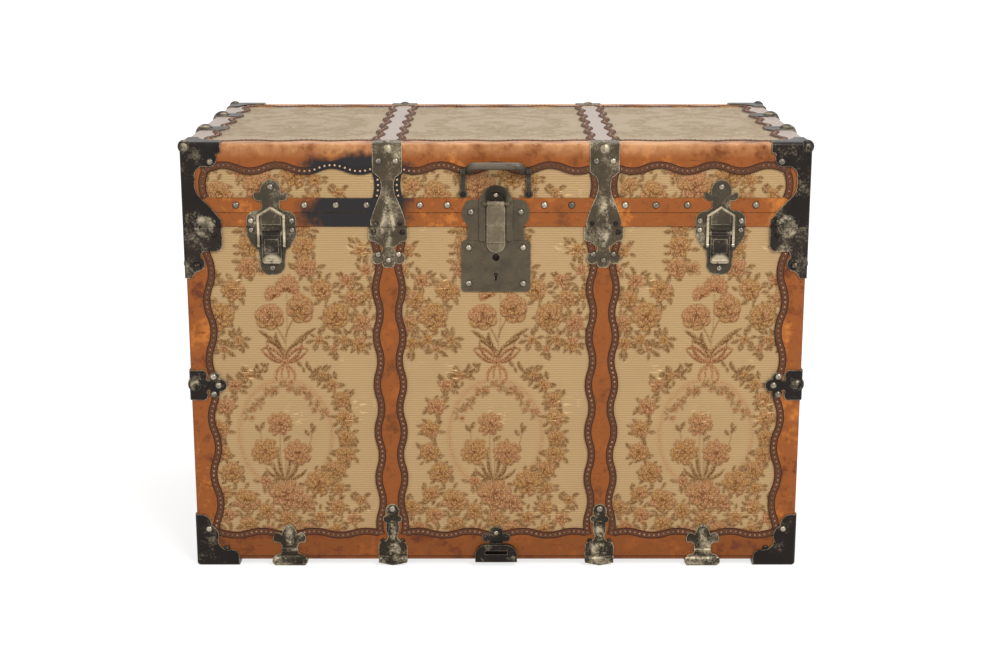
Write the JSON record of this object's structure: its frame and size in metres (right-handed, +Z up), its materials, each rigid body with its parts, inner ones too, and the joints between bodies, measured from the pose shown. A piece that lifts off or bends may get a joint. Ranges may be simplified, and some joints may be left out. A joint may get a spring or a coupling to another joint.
{
  "type": "flat top steamer trunk",
  "caption": "Flat-top steamer trunk in floral tapestry with wavy studded leather bindings, stamped steel corners, draw latches, a hasp lock and a hinged lid with a handle.",
  "frame": {"origin": "on the floor under the middle of the trunk", "axes": "+X to the right seen from the front, front towards -Y, +Z up"},
  "size_m": [0.976, 0.5499, 0.6579],
  "materials": {
    "wood": "bare, aged",
    "lining_paper": "matt paper",
    "tapestry": "woven, faded",
    "binding_leather": "worn tan",
    "strap_leather": "worn red-brown",
    "handle_leather": "dark, stitched",
    "stamped_steel": "darkened, rubbed",
    "latch_steel": "darkened, rubbed",
    "lock_steel": "dull grey",
    "handle_iron": "black, rubbed"
  },
  "bodies": {
    "trunk_body": {"front_board": "wood", "back_board": "wood", "left_end_board": "wood", "right_end_board": "wood", "bottom_board": "wood", "dust_lip": "wood", "body_lining": "lining_paper", "body_front_tapestry": "tapestry", "body_back_tapestry": "tapestry", "body_end_tapestry": "tapestry", "body_corner_bindings": "binding_leather", "base_bindings": "binding_leather", "body_straps": "strap_leather", "left_end_handle": "handle_leather", "right_end_handle": "handle_leather", "knee_brackets": "stamped_steel", "corner_clamps": "stamped_steel", "foot_caps": "stamped_steel", "strap_sockets": "stamped_steel", "strap_foot_clamps": "stamped_steel", "fleur_clamps": "stamped_steel", "strap_loop": "stamped_steel", "end_handle_caps": "stamped_steel", "hinge_body_leaves": "stamped_steel", "hinge_pins": "stamped_steel", "latch_bases": "latch_steel", "latch_pins": "latch_steel", "lock_plate": "lock_steel", "lock_case": "lock_steel"},
    "lid": {"lid_top_board": "wood", "lid_front_rail": "wood", "lid_back_rail": "wood", "lid_left_rail": "wood", "lid_right_rail": "wood", "lid_lining": "lining_paper", "lid_front_tapestry": "tapestry", "lid_back_tapestry": "tapestry", "lid_end_tapestry": "tapestry", "lid_top_tapestry": "tapestry", "lid_edge_bindings": "binding_leather", "lid_corner_bindings": "binding_leather", "valance_lower_strips": "strap_leather", "valance_upper_strips": "strap_leather", "lid_straps": "strap_leather", "lid_corner_caps": "stamped_steel", "strap_dowels": "stamped_steel", "lid_edge_clamps": "stamped_steel", "hasp_plate": "lock_steel", "hasp_pin": "lock_steel", "latch_keepers": "latch_steel", "hinge_lid_leaves": "stamped_steel", "handle_posts": "handle_iron"},
    "hasp": {"hasp": "lock_steel"},
    "latch_lever_left": {"latch_lever_left": "latch_steel"},
    "latch_lever_right": {"latch_lever_right": "latch_steel"},
    "latch_bail_left": {"latch_bail_left": "latch_steel"},
    "latch_bail_right": {"latch_bail_right": "latch_steel"},
    "front_handle": {"front_handle": "handle_iron"},
    "lock_bolt": {"lock_bolt": "lock_steel"}
  },
  "joints": [
    {"name": "lid_hinge", "type": "hinge", "parent": "trunk_body", "child": "lid", "pos_m": [0, 0.2598, 0.5284], "axis": [-1, 0, 0], "range_deg": [0, 105]},
    {"name": "hasp_hinge", "type": "hinge", "parent": "lid", "child": "hasp", "pos_m": [0, -0.2622, 0.5634], "axis": [-1, 0, 0], "range_deg": [0, 120]},
    {"name": "front_handle_hinge", "type": "hinge", "parent": "lid", "child": "front_handle", "pos_m": [0, -0.2635, 0.6104], "axis": [1, 0, 0], "range_deg": [-25, 100]},
    {"name": "lock_bolt_slide", "type": "slide", "parent": "trunk_body", "child": "lock_bolt", "axis": [1, 0, 0], "range_m": [0, 0.009]},
    {"name": "latch_lever_left_hinge", "type": "hinge", "parent": "trunk_body", "child": "latch_lever_left", "pos_m": [-0.32904, -0.2596, 0.5194], "axis": [-1, 0, 0], "range_deg": [0, 140]},
    {"name": "latch_bail_left_hinge", "type": "hinge", "parent": "latch_lever_left", "child": "latch_bail_left", "pos_m": [-0.32904, -0.2596, 0.5014], "axis": [-1, 0, 0], "range_deg": [-140, 0]},
    {"name": "latch_lever_right_hinge", "type": "hinge", "parent": "trunk_body", "child": "latch_lever_right", "pos_m": [0.32904, -0.2596, 0.5194], "axis": [-1, 0, 0], "range_deg": [0, 140]},
    {"name": "latch_bail_right_hinge", "type": "hinge", "parent": "latch_lever_right", "child": "latch_bail_right", "pos_m": [0.32904, -0.2596, 0.5014], "axis": [-1, 0, 0], "range_deg": [-140, 0]}
  ],
  "couplings": [
    {"joint": "latch_bail_left_hinge", "follows": "latch_lever_left_hinge", "ratio": -1},
    {"joint": "latch_bail_right_hinge", "follows": "latch_lever_right_hinge", "ratio": -1}
  ]
}
